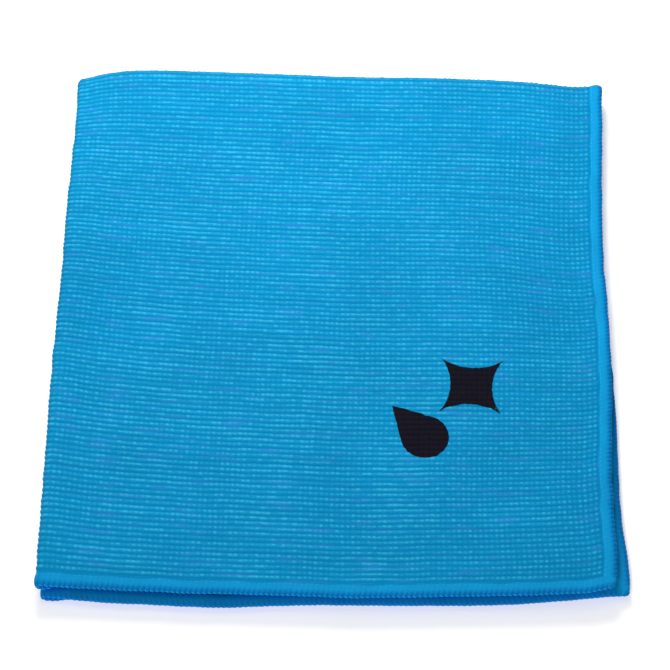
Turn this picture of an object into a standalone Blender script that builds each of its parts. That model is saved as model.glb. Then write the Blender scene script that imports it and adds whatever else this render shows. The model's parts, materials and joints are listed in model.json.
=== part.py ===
"""Ribbed microfibre polishing cloth, hemmed on all sides and folded in four.

The flat cloth is folded first across its left side and then across its back, so the
stack has four layers: the upper half holds two of them and the lower half the other two.
The halves open like a book about the hinge line behind the back fold. Metres, +Z up:
+X runs from the left fold to the side hems, +Y from the front hems to the back fold.
Each half is modelled as the lower one, and the upper one is its mirror image above
the hinge plane.
"""

import math

import bmesh
import bpy
from mathutils import Matrix, Vector

# Flat cloth
CLOTH_WIDTH = 0.320
CLOTH_LENGTH = 0.360
FABRIC_THICKNESS = 0.0015
HEM_THICKNESS = 0.0017
HEM_WIDTH = 0.0033

# Folded stack
LAYER_PITCH = 0.0021
HALVES_GAP = 0.0010
LOWER_OVERHANG = 0.0015
LOWER_SKEW = 0.0026
FOLD_LEG = 0.0020
GAP = 0.0003
TURN_STEPS = 8
ROUND_STEPS = 8

# Printed mark: a droplet and a four-pointed sparkle in line on the upper half
PRINT_THICKNESS = 0.0002
PRINT_CENTRE = Vector((0.0325, -0.0277))
PRINT_TILT = math.radians(43)
DROPLET_OFFSET = -0.0122
DROPLET_RADIUS = 0.0068
DROPLET_LENGTH = 0.0205
DROPLET_STEPS = 20
SPARKLE_OFFSET = 0.0090
SPARKLE_REACH = 0.0128
SPARKLE_POWER = 3.2
SPARKLE_STEPS = 8
POCKET_SCALE = 1.10
POCKET_DEPTH = PRINT_THICKNESS + GAP
CUTTER_RISE = 0.002

# Heights
HALF_TOP = LAYER_PITCH + FABRIC_THICKNESS
HINGE_Z = HALF_TOP + HALVES_GAP / 2
STACK_HEIGHT = 2 * HINGE_Z
WRAP_Z = HINGE_Z - GAP / 2
WRAP_RADIUS = WRAP_Z

# Widths and lengths, from the flat cloth less what the folds take up
LEFT_FOLD_RADIUS = HALF_TOP / 2
NOSE_RADIUS = (LAYER_PITCH + HEM_THICKNESS) / 2
FOLDED_WIDTH = (CLOTH_WIDTH - math.pi * LAYER_PITCH / 2) / 2 + LEFT_FOLD_RADIUS
WRAP_ARC = math.pi * (WRAP_RADIUS - FABRIC_THICKNESS / 2)
UPPER_LENGTH = (CLOTH_LENGTH - WRAP_ARC - LOWER_OVERHANG) / 2 + WRAP_RADIUS
LOWER_LENGTH = UPPER_LENGTH + LOWER_OVERHANG

# The stack stands on the centre of its box
LEFT_X = -(FOLDED_WIDTH + LOWER_SKEW) / 2
RIGHT_X = LEFT_X + FOLDED_WIDTH
BACK_Y = LOWER_LENGTH / 2
WRAP_Y = BACK_Y - WRAP_RADIUS
HINGE = Vector((0, BACK_Y, HINGE_Z))

FOLD_END_X = LEFT_X + LEFT_FOLD_RADIUS + FOLD_LEG
PANEL_LEFT_X = FOLD_END_X + GAP
PANEL_RIGHT_X = RIGHT_X - HEM_WIDTH - GAP
LEG_Y = WRAP_Y - FOLD_LEG
PANEL_BACK_Y = LEG_Y - GAP

# Name, height of its fabric's lower face
LAYERS = (("outer", 0.0), ("inner", LAYER_PITCH))


def clear_scene():
    for obj in list(bpy.data.objects):
        bpy.data.objects.remove(obj)


def make_material(name, colour, roughness):
    material = bpy.data.materials.new(name)
    material.use_nodes = True
    shader = material.node_tree.nodes["Principled BSDF"]
    shader.inputs["Base Color"].default_value = (*colour, 1)
    shader.inputs["Roughness"].default_value = roughness
    shader.inputs["Metallic"].default_value = 0
    return material


def rectangle(low, high):
    """Corners of a rectangle in the plane of two axes."""
    return [(low[0], low[1]), (high[0], low[1]), (high[0], high[1]), (low[0], high[1])]


def arc(centre, radius, start, end, steps):
    """Points on a circle, from one angle to another in degrees."""
    points = []
    for i in range(steps + 1):
        angle = math.radians(start + (end - start) * i / steps)
        points.append((centre[0] + radius * math.cos(angle), centre[1] + radius * math.sin(angle)))
    return points


def fold_profile():
    """The C of the left fold, open towards +X, in the XZ plane."""
    centre = (LEFT_X + LEFT_FOLD_RADIUS, LEFT_FOLD_RADIUS)
    outer = arc(centre, LEFT_FOLD_RADIUS, 90, 270, TURN_STEPS)
    inner = arc(centre, LEFT_FOLD_RADIUS - FABRIC_THICKNESS, 270, 90, TURN_STEPS)
    top = [(FOLD_END_X, inner[-1][1]), (FOLD_END_X, outer[0][1])]
    bottom = [(FOLD_END_X, outer[-1][1]), (FOLD_END_X, inner[0][1])]
    return outer + bottom + inner + top


def hem_profile(edge, inward, base):
    """A hem's section: square towards the fabric and round at the cloth's edge."""
    radius = HEM_THICKNESS / 2
    centre = (edge + inward * radius, base + radius)
    rim = arc(centre, radius, 90, 270, ROUND_STEPS)
    rim = [(centre[0] + inward * (u - centre[0]), v) for u, v in rim]
    inner = edge + inward * HEM_WIDTH
    return rim + [(inner, base), (inner, base + HEM_THICKNESS)]


def face_in_xz(profile, y):
    mesh = bmesh.new()
    mesh.faces.new([mesh.verts.new((x, y, z)) for x, z in profile])
    return mesh


def face_in_yz(profile, x):
    mesh = bmesh.new()
    mesh.faces.new([mesh.verts.new((x, y, z)) for y, z in profile])
    return mesh


def extrude(mesh, offset):
    """Extrudes the last face of a run by an offset and returns the new end face."""
    mesh.faces.ensure_lookup_table()
    made = bmesh.ops.extrude_face_region(mesh, geom=[mesh.faces[-1]])
    ends = [item for item in made["geom"] if isinstance(item, bmesh.types.BMVert)]
    bmesh.ops.translate(mesh, vec=offset, verts=ends)
    return [item for item in made["geom"] if isinstance(item, bmesh.types.BMFace)][0]


def turn(mesh, face, centre, axis, degrees, steps):
    """Sweeps a face round an axis."""
    bmesh.ops.spin(
        mesh,
        geom=[face, *face.edges, *face.verts],
        cent=centre,
        axis=axis,
        angle=math.radians(degrees),
        steps=steps,
        use_duplicate=False,
    )


def run_back(profile, start, end):
    """A profile in the XZ plane drawn along +Y."""
    mesh = face_in_xz(profile, start)
    extrude(mesh, (0, end - start, 0))
    return mesh


def wrap_back(profile):
    """A profile drawn along +Y and a quarter turn up round the back fold."""
    mesh = face_in_xz(profile, LEG_Y)
    end = extrude(mesh, (0, FOLD_LEG, 0))
    turn(mesh, end, (0, WRAP_Y, WRAP_Z), (1, 0, 0), 90, TURN_STEPS)
    return mesh


def hem_nose(front_y):
    """The front hem's half turn round the left fold, from the outer layer to the inner."""
    centre_x = LEFT_X + NOSE_RADIUS
    mesh = face_in_yz(hem_profile(front_y, 1, 0), centre_x + FOLD_LEG)
    end = extrude(mesh, (-FOLD_LEG, 0, 0))
    turn(mesh, end, (centre_x, 0, NOSE_RADIUS), (0, 1, 0), 180, 2 * TURN_STEPS)
    return mesh


def half_shapes(front_y):
    """Every piece of one half, named, as a mesh in the lower half's place."""
    panel_front = front_y + HEM_WIDTH + GAP
    shapes = {
        "left_fold": ("fabric", run_back(fold_profile(), panel_front, PANEL_BACK_Y)),
        "corner_fold": ("fabric", wrap_back(fold_profile())),
        "front_hem_nose": ("hem", hem_nose(front_y)),
    }
    hem_left = LEFT_X + NOSE_RADIUS + FOLD_LEG + GAP
    for layer, base in LAYERS:
        top = base + FABRIC_THICKNESS
        panel = rectangle((PANEL_LEFT_X, base), (PANEL_RIGHT_X, top))
        shapes[f"{layer}_quarter"] = ("fabric", run_back(panel, panel_front, PANEL_BACK_Y))
        shapes[f"back_fold_{layer}"] = ("fabric", wrap_back(panel))
        front = face_in_yz(hem_profile(front_y, 1, base), hem_left)
        extrude(front, (PANEL_RIGHT_X - hem_left, 0, 0))
        shapes[f"front_hem_{layer}"] = ("hem", front)
        side = hem_profile(RIGHT_X, -1, base)
        shapes[f"side_hem_{layer}"] = ("hem", run_back(side, front_y, PANEL_BACK_Y))
        shapes[f"side_hem_back_{layer}"] = ("hem", wrap_back(side))
    return shapes


def skewed(point, front_y):
    """The lower half lies a little askew, more so towards its front."""
    share = max(0.0, (WRAP_Y - point.y) / (WRAP_Y - front_y))
    return Vector((point.x + LOWER_SKEW * share, point.y, point.z))


def mirrored(point):
    return Vector((point.x, point.y, STACK_HEIGHT - point.z))


def make_piece(name, mesh, material, parent):
    """An object whose origin is its parent's, from a mesh in world coordinates."""
    bmesh.ops.recalc_face_normals(mesh, faces=mesh.faces)
    if mesh.calc_volume(signed=True) < 0:
        bmesh.ops.reverse_faces(mesh, faces=mesh.faces)
    data = bpy.data.meshes.new(name)
    mesh.to_mesh(data)
    mesh.free()
    data.transform(Matrix.Translation(-parent.location))
    data.materials.append(material)
    data.shade_smooth()
    data.set_sharp_from_angle(angle=math.radians(40))
    obj = bpy.data.objects.new(name, data)
    obj.parent = parent
    bpy.context.scene.collection.objects.link(obj)
    return obj


def make_empty(name, place):
    empty = bpy.data.objects.new(name, None)
    empty.location = place
    empty.empty_display_size = 0.01
    bpy.context.scene.collection.objects.link(empty)
    return empty


def make_half(prefix, front_y, place, materials, parent):
    """One half of the folded cloth, its points moved to where that half lies."""
    made = {}
    for name, (kind, mesh) in half_shapes(front_y).items():
        for vert in mesh.verts:
            vert.co = place(vert.co, front_y)
        made[name] = make_piece(f"{prefix}_{name}", mesh, materials[kind], parent)
    return made


def droplet_outline():
    """A circle with two tangents that meet in a point, pointing along +V."""
    tip = DROPLET_LENGTH - DROPLET_RADIUS
    tangent = math.degrees(math.asin(DROPLET_RADIUS / tip))
    drop = DROPLET_LENGTH / 2 - DROPLET_RADIUS
    points = arc((0, -drop), DROPLET_RADIUS, 180 - tangent, 360 + tangent, DROPLET_STEPS)
    return points + [(0, tip - drop)]


def sparkle_outline():
    """A four-pointed star with hollow sides."""
    points = []
    for i in range(4 * SPARKLE_STEPS):
        angle = math.radians(90) * i / SPARKLE_STEPS
        c, s = math.cos(angle), math.sin(angle)
        u = math.copysign(abs(c) ** SPARKLE_POWER, c)
        v = math.copysign(abs(s) ** SPARKLE_POWER, s)
        points.append((SPARKLE_REACH * u, SPARKLE_REACH * v))
    return points


def print_slab(outline, offset, scale, low, high):
    """A slab with an outline of the printed mark, turned to the mark's tilt."""
    along = Vector((math.cos(PRINT_TILT), math.sin(PRINT_TILT)))
    across = Vector((-along.y, along.x))
    centre = PRINT_CENTRE + along * offset
    mesh = bmesh.new()
    corners = [centre + along * u * scale + across * v * scale for u, v in outline]
    mesh.faces.new([mesh.verts.new((p.x, p.y, low)) for p in corners])
    extrude(mesh, (0, 0, high - low))
    return mesh


def cut_pocket(panel, name, mesh, material, parent):
    cutter = make_piece(name, mesh, material, parent)
    cutter.hide_render = True
    cutter.display_type = "WIRE"
    pocket = panel.modifiers.new(name, "BOOLEAN")
    pocket.operation = "DIFFERENCE"
    pocket.object = cutter


def make_print(panel, material, parent):
    """The two shapes of the mark, each let into the fabric with its top flush."""
    shapes = (
        ("print_droplet", droplet_outline(), DROPLET_OFFSET),
        ("print_sparkle", sparkle_outline(), SPARKLE_OFFSET),
    )
    floor = STACK_HEIGHT - POCKET_DEPTH
    for name, outline, offset in shapes:
        pocket = print_slab(outline, offset, POCKET_SCALE, floor, STACK_HEIGHT + CUTTER_RISE)
        cut_pocket(panel, f"{name}_pocket", pocket, material, parent)
        slab = print_slab(outline, offset, 1, STACK_HEIGHT - PRINT_THICKNESS, STACK_HEIGHT)
        make_piece(name, slab, material, parent)


def main():
    clear_scene()
    materials = {
        "fabric": make_material("microfibre", (0.010, 0.330, 0.720), 0.85),
        "hem": make_material("overlock_thread", (0.030, 0.430, 0.800), 0.60),
    }
    ink = make_material("print_ink", (0.006, 0.008, 0.030), 0.55)
    base = make_empty("cloth_base", Vector((0, 0, 0)))
    hinge = make_empty("back_fold_line", HINGE)
    lower_front = BACK_Y - LOWER_LENGTH
    upper_front = BACK_Y - UPPER_LENGTH
    make_half("lower", lower_front, skewed, materials, base)
    upper = make_half("upper", upper_front, lambda p, _: mirrored(p), materials, hinge)
    make_print(upper["outer_quarter"], ink, hinge)


main()
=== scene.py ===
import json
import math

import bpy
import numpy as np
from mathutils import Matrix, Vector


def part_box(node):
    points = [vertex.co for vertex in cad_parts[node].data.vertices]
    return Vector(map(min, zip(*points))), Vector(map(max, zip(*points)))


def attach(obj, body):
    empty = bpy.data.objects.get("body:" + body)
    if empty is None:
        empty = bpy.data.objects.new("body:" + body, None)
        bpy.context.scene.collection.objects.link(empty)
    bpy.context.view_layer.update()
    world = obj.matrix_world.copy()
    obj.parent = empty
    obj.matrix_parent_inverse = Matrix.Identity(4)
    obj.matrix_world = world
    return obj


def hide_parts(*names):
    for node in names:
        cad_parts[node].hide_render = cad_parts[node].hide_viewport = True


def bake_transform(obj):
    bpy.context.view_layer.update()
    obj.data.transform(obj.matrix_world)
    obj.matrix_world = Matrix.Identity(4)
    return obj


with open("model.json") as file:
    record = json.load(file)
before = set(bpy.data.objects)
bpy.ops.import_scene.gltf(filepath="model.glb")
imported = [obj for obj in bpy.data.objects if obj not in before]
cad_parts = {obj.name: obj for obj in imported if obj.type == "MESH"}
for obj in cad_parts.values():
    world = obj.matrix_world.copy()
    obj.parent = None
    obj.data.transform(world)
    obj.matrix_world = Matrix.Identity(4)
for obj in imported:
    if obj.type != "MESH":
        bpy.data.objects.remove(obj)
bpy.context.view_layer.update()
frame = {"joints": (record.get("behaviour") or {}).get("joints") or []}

# The looks of a ribbed microfibre polishing cloth, hemmed all round and folded in four.
# The sheet, its hem and its threads are laid out on the flat cloth: s runs across it and t along
# it, and d is the distance from its middle towards the ribbed face. fold() then takes every
# point to its place in the folded stack. s is 0 at the outer side hem and half the width at the
# left fold. t is 0 at the upper front hem and half the length at the back fold.

# Lengths are in metres, except the camera's lens and sensor, which are in millimetres.
MM_PER_M = 1000
SEED = 7

# Flat cloth
CLOTH_WIDTH = 0.320
CLOTH_LENGTH = 0.360
FOLD_S = CLOTH_WIDTH / 2
FOLD_T = CLOTH_LENGTH / 2

# Knit: ribs across the cloth, each a row of loops
RIB_PITCH = 0.001655
LOOP_PITCH = 0.00148
LINES_PER_LOOP = 4
LINES_PER_INNER_LOOP = 3
CREASE_LINES = 12
CREASE_LINE_PITCH = 0.00006
CORE_HALF = 0.00045
PILE_HEIGHT = 0.00038
PILE_SCATTER = 0.20
RIB_SCATTER = 0.08
RIB_SHARPNESS = 1.25
LOOP_SHARPNESS = 1.1

# The cloth's own map in the unit square: its ribbed face, then a narrow strip for its inner face
FRONT_MAP_WIDTH = 0.965
BACK_MAP_START = 0.975

# Hem
HEM_WIDTH = 0.0033
HEM_HALF = 0.00085
RIM_REACH = 0.00035
STITCH_PITCH = 0.00145
STITCH_STEPS = 8
BAND_CREST = 0.0014
BAND_SLOPE = 0.00032
BAND_RAGGEDNESS = 0.00022
BAND_END_REACH = 0.0011
CHAIN_RADIUS = 0.00015
CHAIN_STEPS = 10
THREAD_SIDES = 6

# Folds: half of the flat cloth's length that each one takes up, and how far the left one bulges
LEFT_FOLD_HALF = 0.00213
BACK_FOLD_HALF = 0.00655
LEFT_FOLD_DEPTH = 0.00145
RUN_S = FOLD_S - LEFT_FOLD_HALF
RUN_T = FOLD_T - BACK_FOLD_HALF

# The hinge
HINGE = Vector(frame["joints"][0]["pos_m"])

# Heights of each layer's middle above or below the hinge plane
TOP_HEIGHT = 0.00245
INNER_HEIGHT = 0.00125
BOTTOM_HEIGHT = 0.00320

# What lifts the layers: the back fold's swelling and how far forwards it runs, the left fold's
# roll and the hems' share of it, long low waves, and the side hem's hump at the back fold
TOP_BULGE = 0.0026
UPPER_INNER_BULGE = 0.0015
LOWER_INNER_BULGE = 0.0006
BULGE_REACH = 0.034
LEFT_ROLL = 0.0011
HEM_LIFT = 0.68
LAYER_WAVE = 0.00016
LAYER_WAVE_LENGTHS = (0.035, 0.075)
SEAM_HUMP = 0.0005

# How far each point strays from its even place in the folded stack
WAVER_X = 0.00012
WAVER_Y = 0.00010
WAVER_LENGTHS = (0.006, 0.020)

# Outlines seen from above, each from the front or the left fold (0) to the back or the right (1)
UPPER_LEFT = (
    (0.00, -0.0803), (0.05, -0.0804), (0.13, -0.0805), (0.26, -0.0808), (0.40, -0.0811),
    (0.56, -0.0808), (0.72, -0.0810), (0.85, -0.0807), (0.95, -0.0807), (1.00, -0.0812),
)
LOWER_LEFT = (
    (0.00, -0.0791), (0.12, -0.0794), (0.30, -0.0802), (0.72, -0.0806), (1.00, -0.0811),
)
UPPER_RIGHT = (
    (0.00, 0.0784), (0.05, 0.0789), (0.11, 0.0785), (0.20, 0.0782), (0.31, 0.0788), (0.42, 0.0792),
    (0.55, 0.0788), (0.66, 0.0781), (0.76, 0.0782), (0.88, 0.0788), (1.00, 0.0792),
)
LOWER_RIGHT = (
    (0.00, 0.0824), (0.04, 0.0826), (0.085, 0.0818), (0.13, 0.0810), (0.18, 0.0807),
    (0.26, 0.0806), (0.38, 0.0803), (0.50, 0.0794), (0.70, 0.0780), (1.00, 0.0790),
)
UPPER_FRONT = (
    (0.00, -0.0878), (0.26, -0.0889), (0.40, -0.0890), (0.58, -0.0892),
    (0.68, -0.0885), (0.90, -0.0870), (0.96, -0.0862), (1.00, -0.0846),
)
LOWER_FRONT = (
    (0.00, -0.0889), (0.06, -0.0897), (0.18, -0.0905), (0.29, -0.0909), (0.42, -0.0898),
    (0.56, -0.0893), (0.70, -0.0889), (0.83, -0.0878), (0.91, -0.0864), (1.00, -0.0849),
)
BACK_FOLD = (
    (0.00, 0.0827), (0.03, 0.0838), (0.08, 0.0844), (0.24, 0.0844), (0.38, 0.0841), (0.53, 0.0836),
    (0.68, 0.0836), (0.84, 0.0829), (0.94, 0.0819), (1.00, 0.0819),
)

# How far the second and the bottom layer's hems stay behind the ones above them
SECOND_RECESS = 0.0030
SECOND_SIDE_RECESS = 0.0016
BOTTOM_RECESS = 0.0012
BOTTOM_SIDE_RECESS = 0.0007

# Printed mark: the same driving sizes as its CAD solids
DROPLET_RADIUS = 0.0068
DROPLET_LENGTH = 0.0205
SPARKLE_REACH = 0.0128
SPARKLE_POWER = 3.2
PRINT_TILT = math.radians(43)
PRINT_RISE = 0.00012
PRINT_DEPTH = 0.0003
PRINT_SIDES = 336
PRINT_RINGS = 44
PRINT_RAGGEDNESS = 0.010

# Camera and light
CAMERA_TARGET = Vector((-0.0001, -0.0051, 0.0070))
CAMERA_DISTANCE = 0.770
CAMERA_ELEVATION = math.radians(58)
CAMERA_AZIMUTH = math.radians(1.3)
CAMERA_LENS = 143.5
SENSOR_WIDTH = 36.0
WORLD_LIGHT = 0.10
WORLD_SEEN = 0.90
FLOOR_GLOW = 0.30
FLOOR_HALF = 2.0

# Painted shade in furrows and gaps: how far round them the material looks, and how closed a place
# is when it takes the full painted shade
GAP_DISTANCE = 0.0035
GAP_SAMPLES = 6
GAP_CLOSED = 0.10


def smooth(value, low=0.0, high=1.0):
    """0 below low, 1 above high, with a soft step between them."""
    share = np.clip((value - low) / (high - low), 0, 1)
    return share * share * (3 - 2 * share)


def mix(first, second, share):
    """The first value where share is 0, the second where it is 1."""
    return first + (second - first) * share


def bell(distance, width):
    """1 at no distance, falling softly to nearly 0 at twice the width."""
    return np.exp(-((distance / width) ** 2))


def curve(points, at):
    """A smooth line through the points, read at each value of at. It stays level beyond them."""
    x, y = np.array(points, float).T
    slope = np.gradient(y, x)
    inside = np.clip(at, x[0], x[-1])
    k = np.clip(np.searchsorted(x, inside) - 1, 0, len(x) - 2)
    width = x[k + 1] - x[k]
    h = (inside - x[k]) / width
    return (
        y[k] * (1 + 2 * h) * (1 - h) ** 2
        + y[k + 1] * h * h * (3 - 2 * h)
        + slope[k] * width * h * (1 - h) ** 2
        - slope[k + 1] * width * h * h * (1 - h)
    )


def waves(a, b, seed, lengths, count=6):
    """Soft unevenness between about -1 and 1: a few sine waves of mixed direction and length."""
    rng = np.random.default_rng(seed)
    total = np.zeros(np.broadcast(a, b).shape)
    for _ in range(count):
        turn = rng.uniform(0, math.pi)
        phase = rng.uniform(0, 2 * math.pi)
        number = 2 * math.pi / rng.uniform(*lengths)
        total += np.sin(number * (a * math.cos(turn) + b * math.sin(turn)) + phase)
    return total / math.sqrt(2 * count)


# The folding map


def layer_heights(u, v, lower):
    """Heights of the outer and the inner layer's middles, from the hinge plane outwards.

    The top layer is lifted by the hems under its edges and by the roll of the left fold. The
    back fold swells, but is held down at the left fold and a little at the right hem.
    """
    from_left = u * RUN_S
    from_right = (1 - u) * RUN_S
    from_front = v * RUN_T
    from_back = (1 - v) * RUN_T
    hem = 1 - smooth(np.minimum(from_right, from_front), 0.0022, 0.0085)
    roll = bell(from_left, 0.0075)
    held_left = 0.97 * bell(from_left, 0.0085)
    held_right = 0.35 * bell(from_right, 0.012)
    bulge = smooth(1 - from_back / BULGE_REACH) * (1 - held_left) * (1 - held_right)
    seam = SEAM_HUMP * bell(from_right, 0.0030) * bell(from_back, 0.007)
    wave = LAYER_WAVE * (1 + waves(from_left, from_front, SEED, LAYER_WAVE_LENGTHS))
    wave = np.maximum(wave, 0) * (1 - 0.7 * hem)
    lift = 1 - (1 - roll) * (1 - HEM_LIFT * hem)
    upper_outer = TOP_HEIGHT + LEFT_ROLL * lift + TOP_BULGE * bulge + wave + seam
    upper_inner = INNER_HEIGHT + UPPER_INNER_BULGE * bulge + 0.6 * wave
    lower_outer = BOTTOM_HEIGHT - 0.00005 * hem
    lower_inner = INNER_HEIGHT + LOWER_INNER_BULGE * bulge
    return mix(upper_outer, lower_outer, lower), mix(upper_inner, lower_inner, lower)


def rib_drift(u, v):
    """How far the ribs stray from straight lines between the front and the back fold.

    They run up towards the back near the left fold. Near the right hem they sag towards the
    front in the middle, and run up a little close to the front.
    """
    from_left = u * RUN_S
    middle = np.sin(math.pi * np.clip(v, 0, 1))
    left_rise = 0.0040 * np.exp(-from_left / 0.024) * middle ** 0.8
    right_sag = -0.0020 * smooth(u, 0.76, 0.96) * bell(v - 0.63, 0.15)
    right_rise = 0.0008 * smooth(u, 0.72, 1.0) * bell(v - 0.16, 0.12)
    return left_rise + right_sag + right_rise


def fold(s, t, d):
    """The folded place of the point s, t of the flat cloth, raised by d towards the ribbed face."""
    s, t, d = np.broadcast_arrays(s, t, d)
    across = math.pi * np.clip((s - RUN_S) / (2 * LEFT_FOLD_HALF), 0, 1)
    along = math.pi * np.clip((t - RUN_T) / (2 * BACK_FOLD_HALF), 0, 1)
    u = np.maximum(np.abs(s - FOLD_S) - LEFT_FOLD_HALF, 0) / RUN_S
    v = 1 - np.maximum(np.abs(t - FOLD_T) - BACK_FOLD_HALF, 0) / RUN_T
    inner = (1 - np.cos(across)) / 2
    lower = smooth(along / math.pi)

    outer_height, inner_height = layer_heights(u, v, lower)
    middle = (outer_height + inner_height) / 2
    radius = (outer_height - inner_height) / 2
    height = middle + (radius + d) * np.cos(across)

    left = mix(curve(UPPER_LEFT, v), curve(LOWER_LEFT, v), lower)
    right = mix(curve(UPPER_RIGHT, v), curve(LOWER_RIGHT, v), lower) - RIM_REACH
    side_recess = mix(SECOND_SIDE_RECESS * inner, BOTTOM_SIDE_RECESS * (1 - inner), lower)
    right = right - side_recess * (1 - smooth(v, 0.8, 1.0))
    start = left + LEFT_FOLD_DEPTH + CORE_HALF + PILE_HEIGHT
    x = start + (right - start) * u - (LEFT_FOLD_DEPTH + d) * np.sin(across)

    front = mix(curve(UPPER_FRONT, u), curve(LOWER_FRONT, u), lower) + RIM_REACH
    recess = mix(SECOND_RECESS * inner, BOTTOM_RECESS * (1 - inner), lower)
    front = front + recess * smooth(u, 0.0, 0.05)
    back = curve(BACK_FOLD, u)
    y = front + (back - front) * v + rib_drift(u, v) + height * np.sin(along)
    z = HINGE.z + height * np.cos(along)

    before_back_fold = v < 0.999
    x = x + WAVER_X * waves(s, t, SEED + 1, WAVER_LENGTHS)
    y = y + WAVER_Y * waves(s, t, SEED + 2, WAVER_LENGTHS) * before_back_fold
    return np.stack([x, y, z], axis=-1)


# Meshes


def signed_volume(points, quads, others):
    """Six times the volume inside the faces, negative where they face inwards."""
    a, b, c, e = (points[quads[:, k]] for k in range(4))
    total = np.einsum("ij,ij->", a, np.cross(b, c)) + np.einsum("ij,ij->", a, np.cross(c, e))
    for face in others:
        corners = points[face]
        fan = np.cross(corners[1:-1], corners[2:])
        total += float((fan @ corners[0]).sum())
    return total


def make_mesh(name, points, quads, others=()):
    """A closed, smooth object from its points, its four-sided faces and its other faces."""
    points = np.ascontiguousarray(points, float).reshape(-1, 3)
    quads = np.asarray(quads, np.int32).reshape(-1, 4)
    others = [np.asarray(face, np.int32) for face in others]
    if signed_volume(points, quads, others) < 0:
        quads = quads[:, ::-1]
        others = [face[::-1] for face in others]
    other_sizes = [len(face) for face in others]
    sizes = np.concatenate([np.full(len(quads), 4), other_sizes]).astype(np.int32)
    corners = np.concatenate([quads.ravel(), *others]).astype(np.int32)
    mesh = bpy.data.meshes.new(name)
    mesh.vertices.add(len(points))
    mesh.vertices.foreach_set("co", points.astype(np.float32).ravel())
    mesh.loops.add(len(corners))
    mesh.loops.foreach_set("vertex_index", corners)
    mesh.polygons.add(len(sizes))
    mesh.polygons.foreach_set("loop_start", (np.cumsum(sizes) - sizes).astype(np.int32))
    mesh.update(calc_edges=True)
    mesh.shade_smooth()
    obj = bpy.data.objects.new(name, mesh)
    bpy.context.scene.collection.objects.link(obj)
    return obj


def add_values(obj, name, values):
    """A value on each point, which the materials read."""
    attribute = obj.data.attributes.new(name, "FLOAT", "POINT")
    attribute.data.foreach_set("value", np.ascontiguousarray(values, np.float32).ravel())


def add_flat_map(obj, flat):
    """A UV map from a place in the unit square for each point."""
    layer = obj.data.uv_layers.new(name="OFBake")
    corners = np.empty(len(obj.data.loops), np.int32)
    obj.data.loops.foreach_get("vertex_index", corners)
    layer.data.foreach_set("uv", flat.reshape(-1, 2)[corners].astype(np.float32).ravel())


def grid_faces(rows, columns, first=0):
    """The four-sided faces between the points of a grid, whose points are numbered from first."""
    index = first + np.arange(rows * columns).reshape(rows, columns)
    return np.stack(
        [index[:-1, :-1], index[:-1, 1:], index[1:, 1:], index[1:, :-1]], axis=-1
    ).reshape(-1, 4)


def tube_faces(rings, sides, tubes=1):
    """Walls and end caps of tubes, each of so many rings of so many points."""
    index = np.arange(tubes * rings * sides).reshape(tubes, rings, sides)
    after = np.roll(index, -1, axis=2)
    walls = np.stack(
        [index[:, :-1], index[:, 1:], after[:, 1:], after[:, :-1]], axis=-1
    ).reshape(-1, 4)
    caps = [index[k, 0] for k in range(tubes)] + [index[k, -1][::-1] for k in range(tubes)]
    return walls, caps


# The knitted sheet


def sheet_lines():
    """Where the sheet's grid lines run: so many to a loop and to a rib, closer in the folds."""
    fine = LOOP_PITCH / LINES_PER_LOOP
    coarse = LOOP_PITCH / LINES_PER_INNER_LOOP
    past_fold = 0.005
    past_turn = 0.001
    outer = np.arange(0, FOLD_S + past_fold, fine)
    inner = np.arange(outer[-1] + coarse, CLOTH_WIDTH - fine / 2, coarse)
    turn_end = FOLD_S + LEFT_FOLD_HALF + past_turn
    turn = np.arange(RUN_S - past_turn, turn_end, fine) + fine / 2
    s = np.unique(np.concatenate([outer, inner, turn, [CLOTH_WIDTH]]).round(7))
    even = np.arange(0, CLOTH_LENGTH - RIB_PITCH / 8, RIB_PITCH / LINES_PER_LOOP)
    crease = FOLD_T + np.arange(-CREASE_LINES, CREASE_LINES + 1) * CREASE_LINE_PITCH
    t = np.unique(np.concatenate([even, crease, [CLOTH_LENGTH]]).round(7))
    return s, t


def pile_share(s, t):
    """The pile's height from 0 in a furrow to 1 on a loop, before the folds press on it."""
    rng = np.random.default_rng(SEED + 3)
    ribs = int(CLOTH_LENGTH / RIB_PITCH) + 2
    loops = int(CLOTH_WIDTH / LOOP_PITCH) + 2
    scatter = rng.uniform(-1, 1, (loops, ribs))
    rib_scatter = rng.uniform(-1, 1, ribs)
    rib_index = np.clip(np.rint(t / RIB_PITCH).astype(int), 0, ribs - 1)
    loop_index = np.clip(np.rint(s / LOOP_PITCH).astype(int), 0, loops - 1)
    rib = np.abs(np.cos(math.pi * t / RIB_PITCH)) ** RIB_SHARPNESS
    loop = np.abs(np.cos(math.pi * s / LOOP_PITCH)) ** LOOP_SHARPNESS
    uneven = 0.14 * waves(s, t, SEED + 4, (0.014, 0.040))
    near_side_hem = 0.32 * bell(s, 0.035)
    loop_depth = 0.30 + uneven + near_side_hem
    share = rib * (1 - loop_depth + loop_depth * loop)
    share = share * (1 + PILE_SCATTER * scatter[loop_index, rib_index])
    return share * (1 + RIB_SCATTER * rib_scatter[rib_index])


def pile_room(s, t):
    """The share of the full pile height: none under the hem, less where the cloth is pressed."""
    edge = np.minimum(np.minimum(s, CLOTH_WIDTH - s), np.minimum(t, CLOTH_LENGTH - t))
    room = smooth(edge, 0.0022, 0.0048)
    underside = smooth(t, FOLD_T + 0.004, FOLD_T + 0.008) * (1 - smooth(s, FOLD_S - 0.004, FOLD_S))
    inner_wrap = bell(t - FOLD_T, BACK_FOLD_HALF) * smooth(s, FOLD_S - 0.004, FOLD_S + 0.004)
    return room * (1 - 0.35 * underside) * (1 - 0.7 * inner_wrap)


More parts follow.
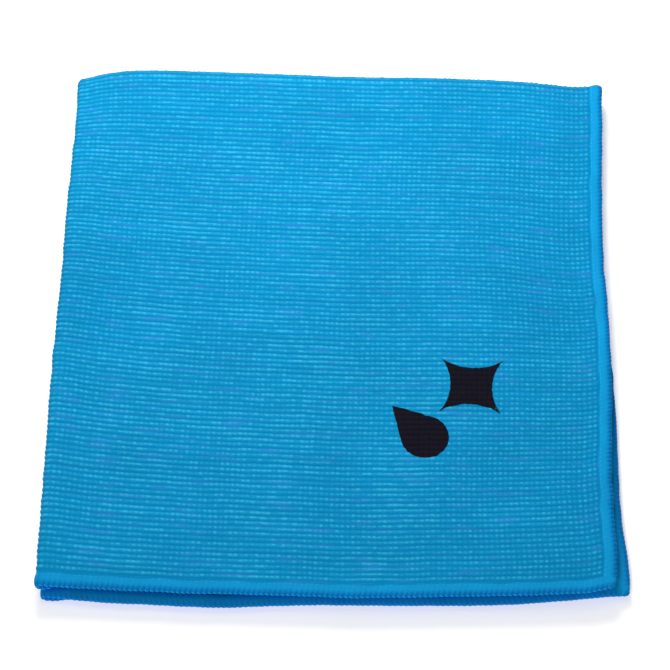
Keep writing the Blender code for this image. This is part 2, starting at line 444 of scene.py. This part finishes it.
def rim_faces(rows, columns, coarse_rows, coarse_columns, back):
    """The faces that join the ribbed face's edge to the coarser inner face's edge."""
    front = np.arange(rows * columns).reshape(rows, columns)
    faces = []
    for k in range(len(coarse_rows) - 1):
        span = slice(coarse_rows[k], coarse_rows[k + 1] + 1)
        faces.append([*front[span, 0], back[k + 1, 0], back[k, 0]])
        faces.append([*front[span, -1][::-1], back[k, -1], back[k + 1, -1]])
    for k in range(len(coarse_columns) - 1):
        span = slice(coarse_columns[k], coarse_columns[k + 1] + 1)
        faces.append([*front[0, span][::-1], back[0, k], back[0, k + 1]])
        faces.append([*front[-1, span], back[-1, k + 1], back[-1, k]])
    return faces


def every_fourth(count):
    """Every fourth number below count, and the last one, with no short step before it."""
    picked = list(range(0, count - 1, 4))
    if count - 1 - picked[-1] < 2:
        picked.pop()
    return picked + [count - 1]


def make_sheet():
    """The knitted sheet as one closed mesh, and the grid that its ribbed face is made on."""
    s, t = sheet_lines()
    flat_s, flat_t = np.meshgrid(s, t, indexing="ij")
    share = pile_share(flat_s, flat_t)
    room = pile_room(flat_s, flat_t)
    ribbed = fold(flat_s, flat_t, CORE_HALF + PILE_HEIGHT * share * room)
    rows, columns = every_fourth(len(s)), every_fourth(len(t))
    back_s, back_t = np.meshgrid(s[rows], t[columns], indexing="ij")
    plain = fold(back_s, back_t, -CORE_HALF)
    back = len(s) * len(t) + np.arange(plain[..., 0].size).reshape(plain.shape[:2])
    quads = np.concatenate([
        grid_faces(len(s), len(t)),
        grid_faces(len(rows), len(columns), len(s) * len(t))[:, ::-1],
    ])
    points = np.concatenate([ribbed.reshape(-1, 3), plain.reshape(-1, 3)])
    obj = make_mesh("knitted_sheet", points, quads, rim_faces(len(s), len(t), rows, columns, back))
    # pile also sets the knit's painted shade in the furrows and painted highlight on the loop tips.
    add_values(obj, "pile", np.concatenate([(share * room).ravel(), np.zeros(back.size)]))
    front_across = flat_s / CLOTH_WIDTH * FRONT_MAP_WIDTH
    back_across = BACK_MAP_START + (1 - BACK_MAP_START) * back_s / CLOTH_WIDTH
    front_map = np.stack([front_across, flat_t / CLOTH_LENGTH], axis=-1)
    back_map = np.stack([back_across, back_t / CLOTH_LENGTH], axis=-1)
    add_flat_map(obj, np.concatenate([front_map.reshape(-1, 2), back_map.reshape(-1, 2)]))
    return obj, s, t, ribbed


# The hem: on each edge a band of looper thread, a needle thread and a chain along the rim


def band_profile():
    """Round the hem's section: distance in from the edge, height, and the way outwards there."""
    rim_reach = RIM_REACH * 0.8
    buried = 0.0001
    rim = np.linspace(-math.pi / 2, math.pi / 2, 15)
    rim_e = BAND_CREST - (BAND_CREST + rim_reach) * np.cos(rim)
    rim_d = HEM_HALF * np.sin(rim)
    run = np.linspace(0, 1, 7)[1:]
    flat_e = BAND_CREST + (HEM_WIDTH - BAND_CREST) * run
    flat_d = HEM_HALF - BAND_SLOPE * run ** 2
    end_e = [HEM_WIDTH + buried, HEM_WIDTH + buried]
    end_d = [CORE_HALF - buried, -CORE_HALF + buried]
    e = np.concatenate([flat_e[::-1], rim_e, flat_e, end_e])
    d = np.concatenate([-flat_d[::-1], rim_d, flat_d, end_d])
    ahead = np.stack([np.roll(e, -1) - np.roll(e, 1), np.roll(d, -1) - np.roll(d, 1)])
    ahead = ahead / np.linalg.norm(ahead, axis=0)
    return e, d, -ahead[1], ahead[0]


def stitch_relief(along, e):
    """How proud the looper thread stands: slanting bars across the hem, deeper towards the rim."""
    slant = 130
    inner_depth = 0.00003
    rim_depth = 0.00020
    ply_height = 0.00003
    phase = along / STITCH_PITCH + slant * e
    bar = np.abs(np.cos(math.pi * phase)) ** 0.7
    ply = np.abs(np.cos(2 * math.pi * phase + 0.6)) ** 1.2
    near_rim = 1 - smooth(e, -0.0002, 0.0018)
    uneven = 1 + 0.25 * waves(along, e * 3, SEED + 5, (0.003, 0.012))
    depth = (inner_depth + rim_depth * near_rim) * uneven
    return depth * (bar - 0.6) + ply_height * ply, bar


def end_taper(along, length):
    """Full size along the hem, rounded off over the last stretch at each end."""
    left = np.clip(np.minimum(along, length - along) / BAND_END_REACH, 0.02, 1)
    return np.sqrt(1 - (1 - left) ** 2)


# Each edge's length, what its band is thicker by, so that the faces of two bands never coincide
# at a corner, and where a point so far along and in from the edge lies on the flat cloth
EDGES = {
    "upper_front": (CLOTH_WIDTH, 0.00002, lambda along, e: (along, e)),
    "lower_front": (CLOTH_WIDTH, 0.00002, lambda along, e: (along, CLOTH_LENGTH - e)),
    "outer_side": (CLOTH_LENGTH, -0.00004, lambda along, e: (e, along)),
    "inner_side": (CLOTH_LENGTH, -0.00004, lambda along, e: (CLOTH_WIDTH - e, along)),
}


def make_band(edge):
    """The looper thread that covers an edge, wound round it in slanting bars."""
    length, extra, place = EDGES[edge]
    overhang = RIM_REACH * 0.6
    along = np.arange(-overhang, length + overhang, STITCH_PITCH / STITCH_STEPS)[:, None]
    e, d, out_e, out_d = band_profile()
    relief, bar = stitch_relief(along, e[None, :])
    size = end_taper(along + overhang, length + 2 * overhang)
    ragged = waves(along, 0, SEED + 7, (0.003, 0.014)) * smooth(e, 0.0022, HEM_WIDTH)
    full_e = e + out_e * relief + BAND_RAGGEDNESS * ragged
    full_d = d * (1 + extra / HEM_HALF) + out_d * relief
    centre = HEM_WIDTH / 2
    narrowing = 0.45
    width = 1 - narrowing + narrowing * size
    s, t = place(along + 0 * full_e, centre + (full_e - centre) * width)
    points = fold(s, t, full_d * size)
    walls, caps = tube_faces(len(along), len(e))
    obj = make_mesh(f"{edge}_hem_band", points, walls, caps)
    # bar and rim also set where the yarn takes its painted shade, between the bars and round the
    # rim.
    add_values(obj, "bar", bar + 0 * points[..., 0])
    add_values(obj, "rim", (1 - smooth(e, -0.0002, 0.0016))[None, :] + 0 * points[..., 0])
    return obj


def rings_round(path, radius, sides, guide):
    """Rings of points round each path. The guide is never in line with the path."""
    ahead = np.gradient(path, axis=1)
    ahead = ahead / np.linalg.norm(ahead, axis=-1, keepdims=True)
    side = np.cross(ahead, guide)
    side = side / np.linalg.norm(side, axis=-1, keepdims=True)
    up = np.cross(side, ahead)
    turn = np.linspace(0, 2 * math.pi, sides, endpoint=False)[:, None]
    spread = side[:, :, None] * np.cos(turn) + up[:, :, None] * np.sin(turn)
    return path[:, :, None] + spread * np.asarray(radius)[..., None, None]


def make_thread(name, edge, path, radius, guide):
    """A thread along an edge. Each point of the path is (along the edge, in from it, height)."""
    place = EDGES[edge][2]
    rings = rings_round(path, radius, THREAD_SIDES, guide)
    s, t = place(rings[..., 0], rings[..., 1])
    points = fold(s, t, rings[..., 2])
    walls, caps = tube_faces(path.shape[1], THREAD_SIDES, path.shape[0])
    return make_mesh(name, points, walls, caps)


def make_needle_thread(edge):
    """The straight row of stitches where the hem meets the ribs, sunk into the band."""
    length = EDGES[edge][0]
    sunk = 0.00042
    arch = 0.00018
    thin, swell = 0.00011, 0.00005
    count = int((length - 2 * HEM_WIDTH) / STITCH_PITCH)
    share = np.linspace(0, 1, 9)
    first = HEM_WIDTH + STITCH_PITCH * np.arange(count)[:, None]
    along = first + STITCH_PITCH * (0.06 + 0.88 * share)
    rise = HEM_HALF - sunk + arch * np.sin(math.pi * share) ** 0.6
    inset = HEM_WIDTH - 0.00045 + 0.00008 * np.cos(math.pi * share)
    path = np.stack(np.broadcast_arrays(along, inset, rise), axis=-1)
    radius = thin + swell * np.sin(math.pi * share) + 0 * along
    guide = np.array([0.0, 0.0, 1.0])
    return make_thread(f"{edge}_needle_thread", edge, path, radius, guide)


def make_rim_chain(edge):
    """The loopers' chain, wound along the rim."""
    length = EDGES[edge][0]
    end_gap = 0.001
    swing_in = 0.00016
    swing_up = 0.00034
    steps = int((length - 2 * end_gap) / STITCH_PITCH * CHAIN_STEPS)
    along = np.linspace(end_gap, length - end_gap, steps)[None, :]
    phase = 2 * math.pi * along / STITCH_PITCH
    inset = -RIM_REACH * 0.35 - swing_in * np.cos(phase)
    height = swing_up * np.sin(phase)
    path = np.stack([along, inset, height], axis=-1)
    radius = CHAIN_RADIUS + 0 * along
    guide = np.array([1.0, 0.0, 0.0])
    return make_thread(f"{edge}_rim_chain", edge, path, radius, guide)


# The printed mark


def flat_place(x, y):
    """The flat cloth's s and t under the point x, y of the top layer, found step by step."""
    enough_steps = 12
    s = FOLD_S - (x - UPPER_LEFT[0][1])
    t = y - UPPER_FRONT[0][1]
    for _ in range(enough_steps):
        there = fold(s, t, CORE_HALF)
        s = s + (there[..., 0] - x)
        t = t - (there[..., 1] - y)
    return s, t


def on_grid(s_lines, t_lines, grid, s, t):
    """The sheet's own surface at s, t, between the points of its grid."""
    i = np.clip(np.searchsorted(s_lines, s) - 1, 0, len(s_lines) - 2)
    j = np.clip(np.searchsorted(t_lines, t) - 1, 0, len(t_lines) - 2)
    a = ((s - s_lines[i]) / (s_lines[i + 1] - s_lines[i]))[..., None]
    b = ((t - t_lines[j]) / (t_lines[j + 1] - t_lines[j]))[..., None]
    near = mix(grid[i, j], grid[i + 1, j], a)
    far = mix(grid[i, j + 1], grid[i + 1, j + 1], a)
    return mix(near, far, b)


def droplet_reach(angle):
    """Distance from the round end's centre to the droplet's outline, with its tip at angle 0."""
    tip = DROPLET_LENGTH - DROPLET_RADIUS
    touch = math.acos(DROPLET_RADIUS / tip)
    off = np.abs((angle + math.pi) % (2 * math.pi) - math.pi)
    side = DROPLET_RADIUS / np.maximum(np.cos(touch - off), 0.05)
    return np.where(off < touch, side, DROPLET_RADIUS)


def sparkle_reach(angle):
    """Distance from the middle to the outline of a star with four hollow sides."""
    power = 2 / SPARKLE_POWER
    spread = np.abs(np.cos(angle)) ** power + np.abs(np.sin(angle)) ** power
    return SPARKLE_REACH * spread ** (-1 / power)


def make_print(name, reach, centre, tip_angle, s_lines, t_lines, grid):
    """Ink in the pile: a thin closed skin that follows the loops under it."""
    sides, rings = PRINT_SIDES, PRINT_RINGS
    angle = np.linspace(0, 2 * math.pi, sides, endpoint=False)
    unevenness = waves(angle * 0.01, angle * 0, SEED + 6, (0.0012, 0.004), count=8)
    ragged = 1 + PRINT_RAGGEDNESS * unevenness
    share = (np.arange(1, rings + 1) / rings)[:, None]
    distance = share * reach(angle - tip_angle) * ragged
    x = centre.x + distance * np.cos(angle)
    y = centre.y + distance * np.sin(angle)
    s, t = flat_place(np.append(x.ravel(), centre.x), np.append(y.ravel(), centre.y))
    below = on_grid(s_lines, t_lines, grid, s, t)
    top = below + (0, 0, PRINT_RISE)
    base = below - (0, 0, PRINT_DEPTH)
    count = rings * sides + 1
    index = np.arange(rings * sides).reshape(rings, sides)
    after = np.roll(index, -1, axis=1)
    skin = np.stack([index[:-1], index[1:], after[1:], after[:-1]], axis=-1).reshape(-1, 4)
    outer, outer_after = index[-1], after[-1]
    rim = np.stack([outer, outer + count, outer_after + count, outer_after], axis=-1)
    middle = rings * sides
    fan = [[middle, index[0, k], after[0, k]] for k in range(sides)]
    base_fan = [[face[0] + count, face[2] + count, face[1] + count] for face in fan]
    quads = np.concatenate([skin, skin[:, ::-1] + count, rim])
    return make_mesh(name, np.concatenate([top, base]), quads, fan + base_fan)


# Materials


class Nodes:
    """Short calls for building a material's nodes."""

    def __init__(self, name):
        self.material = bpy.data.materials.new(name)
        self.material.use_nodes = True
        self.tree = self.material.node_tree
        self.shader = self.tree.nodes["Principled BSDF"]

    def add(self, kind, inputs=(), **settings):
        """A node with its settings, each input either linked to a socket or set to a value."""
        node = self.tree.nodes.new(kind)
        for key, value in settings.items():
            setattr(node, key, value)
        for key, value in dict(inputs).items():
            if isinstance(value, bpy.types.NodeSocket):
                self.tree.links.new(value, node.inputs[key])
            else:
                node.inputs[key].default_value = value
        return node

    def math(self, operation, a, b=0.0):
        return self.add("ShaderNodeMath", {0: a, 1: b}, operation=operation).outputs[0]

    def value_of(self, attribute):
        """A value that add_values put on the mesh."""
        return self.add("ShaderNodeAttribute", attribute_name=attribute).outputs["Fac"]

    def cloth_place(self):
        """Millimetres across and along the flat cloth."""
        place = self.add("ShaderNodeUVMap", uv_map="OFBake").outputs[0]
        size = (CLOTH_WIDTH * MM_PER_M / FRONT_MAP_WIDTH, CLOTH_LENGTH * MM_PER_M, 0)
        scale = self.add("ShaderNodeVectorMath", {0: place, 1: size}, operation="MULTIPLY")
        return scale.outputs[0]

    def object_place(self):
        """Millimetres in the object's own axes."""
        place = self.add("ShaderNodeTexCoord").outputs["Object"]
        size = (MM_PER_M, MM_PER_M, MM_PER_M)
        scale = self.add("ShaderNodeVectorMath", {0: place, 1: size}, operation="MULTIPLY")
        return scale.outputs[0]

    def noise(self, place, scale, stretch=(1, 1, 1), detail=2.0):
        """Cloudy noise with so many clouds to a millimetre, drawn out where stretch is below 1."""
        vector = self.add("ShaderNodeVectorMath", {0: place, 1: stretch}, operation="MULTIPLY")
        inputs = {"Vector": vector.outputs[0], "Scale": scale, "Detail": detail}
        return self.add("ShaderNodeTexNoise", inputs).outputs["Fac"]

    def ramp(self, factor, stops):
        """A colour from the factor, through stops of a position and a colour."""
        node = self.add("ShaderNodeValToRGB", {"Fac": factor})
        elements = node.color_ramp.elements
        while len(elements) < len(stops):
            elements.new(0.5)
        for element, (position, colour) in zip(elements, stops):
            element.position = position
            element.color = (*colour, 1)
        return node.outputs["Color"]

    def blend(self, factor, a, b, kind="MIX"):
        """Colour a where the factor is 0, and b mixed in or multiplied by where it is 1."""
        node = self.add("ShaderNodeMix", data_type="RGBA", blend_type=kind)
        for socket, value in ((node.inputs[0], factor), (node.inputs[6], a), (node.inputs[7], b)):
            if isinstance(value, bpy.types.NodeSocket):
                self.tree.links.new(value, socket)
            else:
                socket.default_value = value if isinstance(value, float) else (*value, 1)
        return node.outputs[2]

    def shaded(self, colour, shade_colour, open_at):
        """The colour with painted shade: it turns to the shade colour where ambient occlusion finds
        the surface hidden in a gap or a furrow.
        """
        reach = {"Distance": GAP_DISTANCE}
        node = self.add("ShaderNodeAmbientOcclusion", reach, samples=GAP_SAMPLES)
        inputs = {"Value": node.outputs["AO"], "From Min": GAP_CLOSED, "From Max": open_at}
        open_share = self.add("ShaderNodeMapRange", inputs).outputs[0]
        return self.blend(open_share, shade_colour, colour)

    def shade(self, colour, light):
        """The colour times a grey that is 1 where light is 0.5."""
        grey = self.add("ShaderNodeCombineColor", {"Red": light, "Green": light, "Blue": light})
        return self.blend(1.0, colour, grey.outputs[0], "MULTIPLY")

    def fuzz(self, place, scale, detail, strength, height):
        """The finest unevenness of the fibres, as bump."""
        noise = self.noise(place, scale, detail=detail)
        inputs = {"Height": noise, "Strength": strength, "Distance": height}
        return self.add("ShaderNodeBump", inputs).outputs[0]

    def to_shader(self, **links):
        """Links sockets to the shader's inputs, named with _ for each space."""
        for key, value in links.items():
            self.tree.links.new(value, self.shader.inputs[key.replace("_", " ")])

    def set_shader(self, values):
        for key, value in values.items():
            self.shader.inputs[key].default_value = value


def spread(nodes, noise, low, high):
    """A noise, which lies about 0.5, taken to the range from low to high."""
    inputs = {"Value": noise, "From Min": 0.28, "From Max": 0.72, "To Min": low, "To Max": high}
    return nodes.add("ShaderNodeMapRange", inputs).outputs[0]


def knit_material():
    """Blue split-fibre pile: painted shade in the furrows and a painted highlight on the loop tips,
    fuzz, and slow changes of tone.
    """
    nodes = Nodes("knit_microfibre")
    place = nodes.cloth_place()
    pile = nodes.value_of("pile")
    tuft = spread(nodes, nodes.noise(place, 1.9, stretch=(0.7, 1.0, 1)), -0.16, 0.16)
    height = nodes.math("ADD", pile, tuft)
    # Painted shade and highlight: darker where the pile is low in the furrows, paler towards the
    # loop tips, with the tuft noise's random unevenness.
    colour = nodes.ramp(height, (
        (0.00, (0.0006, 0.172, 0.380)),
        (0.40, (0.0014, 0.205, 0.425)),
        (0.80, (0.0085, 0.268, 0.490)),
        (1.00, (0.0300, 0.350, 0.570)),
    ))
    # Painted shade: a deeper blue where the surface lies hidden in a furrow or a gap.
    colour = nodes.shaded(colour, shade_colour=(0.0006, 0.110, 0.400), open_at=0.50)
    streak_noise = nodes.noise(place, 0.62, stretch=(0.13, 1.0, 1), detail=1.0)
    streak = nodes.math("MAXIMUM", spread(nodes, streak_noise, -0.9, 0.40), 0.0)
    violet = (0.030, 0.170, 0.520)
    colour = nodes.blend(streak, colour, violet)
    fibre = spread(nodes, nodes.noise(place, 7.0, detail=3.0), 0.90, 1.10)
    patch = spread(nodes, nodes.noise(place, 0.035), 0.95, 1.05)
    row_noise = nodes.noise(place, 0.60, stretch=(0.03, 1.0, 1), detail=1.0)
    row = spread(nodes, row_noise, 0.94, 1.06)
    light = nodes.math("MULTIPLY", nodes.math("MULTIPLY", fibre, patch), row)
    rough = spread(nodes, nodes.noise(place, 3.0), 0.74, 0.92)
    bump = nodes.fuzz(place, 5.5, 4.0, strength=0.45, height=0.00016)
    nodes.to_shader(Base_Color=nodes.shade(colour, light), Roughness=rough, Normal=bump)
    nodes.set_shader({
        "Sheen Weight": 0.10, "Sheen Roughness": 0.45, "Sheen Tint": (0.02, 0.55, 1.0, 1),
        "Specular IOR Level": 0.04,
    })
    return nodes.material


def thread_material(name, low, high, groove_shade):
    """Textured overlock yarn: fine filaments, with painted shade between the bars, round the rim
    and in the gaps under the hems.
    """
    nodes = Nodes(name)
    place = nodes.object_place()
    bar = nodes.value_of("bar")
    filament = nodes.noise(place, 2.6, detail=3.0)
    colour = nodes.blend(spread(nodes, filament, 0.0, 1.0), low, high)
    rim = nodes.value_of("rim")
    # Painted shade in the grooves between the bars, stronger towards the rim.
    depth = nodes.math("ADD", nodes.math("MULTIPLY", rim, 0.70), 0.06)
    groove_shade_mask = nodes.math("MULTIPLY", nodes.math("SUBTRACT", 1.0, bar), depth)
    colour = nodes.blend(groove_shade_mask, colour, groove_shade)
    # Painted shade round the rim, where the band rolls over the edge.
    rim_painted_shade = (0.0008, 0.100, 0.380)
    colour = nodes.blend(nodes.math("MULTIPLY", rim, 0.60), colour, rim_painted_shade)
    # Painted shade in the gaps under the hems above.
    colour = nodes.shaded(colour, shade_colour=(0.0004, 0.014, 0.600), open_at=0.80)
    light = spread(nodes, nodes.noise(place, 0.11), 0.94, 1.06)
    rough = spread(nodes, filament, 0.52, 0.74)
    bump = nodes.fuzz(place, 6.0, 3.0, strength=0.35, height=0.00012)
    nodes.to_shader(Base_Color=nodes.shade(colour, light), Roughness=rough, Normal=bump)
    nodes.set_shader({
        "Sheen Weight": 0.07, "Sheen Roughness": 0.35, "Sheen Tint": (0.01, 0.55, 1.0, 1),
        "Specular IOR Level": 0.035,
    })
    return nodes.material


def ink_material():
    """Near-black ink soaked into the pile, thinner here and there."""
    nodes = Nodes("navy_ink")
    place = nodes.object_place()
    mottle = nodes.noise(place, 1.4, detail=3.0)
    colour = nodes.ramp(mottle, (
        (0.30, (0.0012, 0.0008, 0.0030)),
        (0.62, (0.0028, 0.0020, 0.0090)),
        (0.86, (0.0050, 0.0060, 0.0300)),
    ))
    rough = spread(nodes, mottle, 0.62, 0.85)
    bump = nodes.fuzz(place, 6.0, 3.0, strength=0.5, height=0.00015)
    nodes.to_shader(Base_Color=colour, Roughness=rough, Normal=bump)
    nodes.set_shader({"Specular IOR Level": 0.10})
    return nodes.material


def plain_material(name, colour, roughness, glow):
    """One colour all over, with a faint white glow of its own."""
    nodes = Nodes(name)
    nodes.set_shader({
        "Base Color": (*colour, 1), "Roughness": roughness,
        "Emission Color": (1, 1, 1, 1), "Emission Strength": glow,
    })
    return nodes.material


# The stage


def make_floor():
    """A white light table, which keeps the shadows on it faint."""
    half = FLOOR_HALF
    corners = [(-half, -half, 0), (half, -half, 0), (half, half, 0), (-half, half, 0)]
    mesh = bpy.data.meshes.new("floor")
    mesh.from_pydata(corners, [], [(0, 1, 2, 3)])
    floor = bpy.data.objects.new("floor", mesh)
    bpy.context.scene.collection.objects.link(floor)
    mesh.materials.append(plain_material("pale_floor", (0.90, 0.90, 0.90), 0.8, FLOOR_GLOW))


def look_at(obj, place, target):
    """Stands a light at a place, turned to the target."""
    obj.location = place
    obj.rotation_mode = "QUATERNION"
    obj.rotation_quaternion = (target - place).to_track_quat("-Z", "Y")


def make_area_light(name, place, size, watts):
    light = bpy.data.lights.new(name, "AREA")
    light.shape = "DISK"
    light.size = size
    light.energy = watts
    obj = bpy.data.objects.new(name, light)
    bpy.context.scene.collection.objects.link(obj)
    look_at(obj, Vector(place), Vector((0, 0, 0)))


def make_lights():
    """Soft boxes behind, above and in front, in a room whose pale walls add little light."""
    make_area_light("back_softbox", place=(-0.03, 0.20, 0.27), size=0.22, watts=1.28)
    make_area_light("overhead_softbox", place=(-0.03, 0.02, 0.60), size=0.35, watts=0.50)
    make_area_light("front_softbox", place=(-0.50, -2.20, 1.70), size=1.40, watts=52.0)
    world = bpy.data.worlds.new("studio")
    bpy.context.scene.world = world
    world.use_nodes = True
    tree = world.node_tree
    background = tree.nodes["Background"]
    background.inputs["Color"].default_value = (1, 1, 1, 1)
    seen = tree.nodes.new("ShaderNodeMapRange")
    seen.inputs["To Min"].default_value = WORLD_LIGHT
    seen.inputs["To Max"].default_value = WORLD_SEEN
    camera_ray = tree.nodes.new("ShaderNodeLightPath").outputs["Is Camera Ray"]
    tree.links.new(camera_ray, seen.inputs["Value"])
    tree.links.new(seen.outputs[0], background.inputs["Strength"])


def make_camera():
    """A long lens, as far up and round as the photograph was taken from, and kept level."""
    camera = bpy.data.cameras.new("camera")
    camera.lens = CAMERA_LENS
    camera.sensor_width = SENSOR_WIDTH
    camera.clip_start = 0.05
    camera.clip_end = 10
    obj = bpy.data.objects.new("camera", camera)
    bpy.context.scene.collection.objects.link(obj)
    flat = math.cos(CAMERA_ELEVATION)
    direction = Vector((
        math.sin(CAMERA_AZIMUTH) * flat,
        -math.cos(CAMERA_AZIMUTH) * flat,
        math.sin(CAMERA_ELEVATION),
    ))
    right = Vector((math.cos(CAMERA_AZIMUTH), math.sin(CAMERA_AZIMUTH), 0))
    up = direction.cross(right)
    turn = Matrix((right, up, direction)).transposed()
    place = CAMERA_TARGET + direction * CAMERA_DISTANCE
    obj.matrix_world = Matrix.Translation(place) @ turn.to_4x4()
    bpy.context.scene.camera = obj


# Putting it together


def ride_upper(obj):
    """The piece turns with the upper half."""
    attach(obj, "upper_half")


def ride_lower(obj):
    """The piece stays with the lower half."""
    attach(obj, "lower_half")


def bend(obj):
    """The piece runs round the back fold. Its place is baked into its mesh, and it is fixed to
    neither half.
    """
    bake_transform(obj)


def finish_piece(obj, material, hold):
    """Gives a piece its material and slot, and hands it to hold, which fixes it to a body or bakes
    its place.
    """
    obj.data.materials.append(material)
    hold(obj)
    return obj


def nodes_named(*ends):
    """The CAD nodes of both halves with these name endings."""
    return [f"{half}_{end}" for half in ("lower", "upper") for end in ends]


def build_hems():
    """The band, needle thread and chain of all four edges."""
    # Each yarn's last colour is its painted shade between the bars and round the rim.
    yarn = thread_material(
        "overlock_yarn",
        low=(0.0010, 0.226, 0.490), high=(0.004, 0.280, 0.560), groove_shade=(0.0005, 0.045, 0.320),
    )
    bright = thread_material(
        "overlock_thread",
        low=(0.004, 0.290, 0.540), high=(0.014, 0.380, 0.640), groove_shade=(0.003, 0.150, 0.420),
    )
    holds = {
        "upper_front": ride_upper,
        "lower_front": ride_lower,
        "outer_side": bend,
        "inner_side": bend,
    }
    stands_for = {
        "upper_front": [f"upper_front_hem_{end}" for end in ("outer", "inner", "nose")],
        "lower_front": [f"lower_front_hem_{end}" for end in ("outer", "inner", "nose")],
        "outer_side": nodes_named("side_hem_outer", "side_hem_back_outer"),
        "inner_side": nodes_named("side_hem_inner", "side_hem_back_inner"),
    }
    made = []
    for edge, hold in holds.items():
        band = finish_piece(make_band(edge), yarn, hold)
        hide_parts(*stands_for[edge])
        needle = finish_piece(make_needle_thread(edge), bright, hold)
        chain = finish_piece(make_rim_chain(edge), bright, hold)
        for thread in (needle, chain):
            add_values(thread, "bar", np.ones(len(thread.data.vertices)))
            add_values(thread, "rim", np.zeros(len(thread.data.vertices)))
        made += [band, needle, chain]
    return made


def build_print(s_lines, t_lines, grid):
    """Both printed shapes, where their CAD solids are, each with its tip turned by the tilt."""
    ink = ink_material()
    low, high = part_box("print_droplet")
    droplet_centre = Vector((high.x - DROPLET_RADIUS, low.y + DROPLET_RADIUS))
    low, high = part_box("print_sparkle")
    sparkle_centre = ((low + high) / 2).to_2d()
    up = PRINT_TILT + math.pi / 2
    shapes = (
        ("droplet_ink", droplet_reach, droplet_centre, up, "print_droplet"),
        ("sparkle_ink", sparkle_reach, sparkle_centre, PRINT_TILT, "print_sparkle"),
    )
    made = []
    for name, reach, centre, angle, node in shapes:
        obj = make_print(name, reach, centre, angle, s_lines, t_lines, grid)
        made.append(finish_piece(obj, ink, ride_upper))
        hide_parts(node)
    return made


def build():
    """The sheet with its hems and print."""
    sheet, s_lines, t_lines, grid = make_sheet()
    finish_piece(sheet, knit_material(), bend)
    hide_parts(*nodes_named(
        "outer_quarter", "inner_quarter", "left_fold", "corner_fold", "back_fold_outer",
        "back_fold_inner",
    ))
    trim = build_hems() + build_print(s_lines, t_lines, grid)


make_camera()
make_floor()
make_lights()
build()
bpy.context.scene.view_settings.view_transform = "Standard"
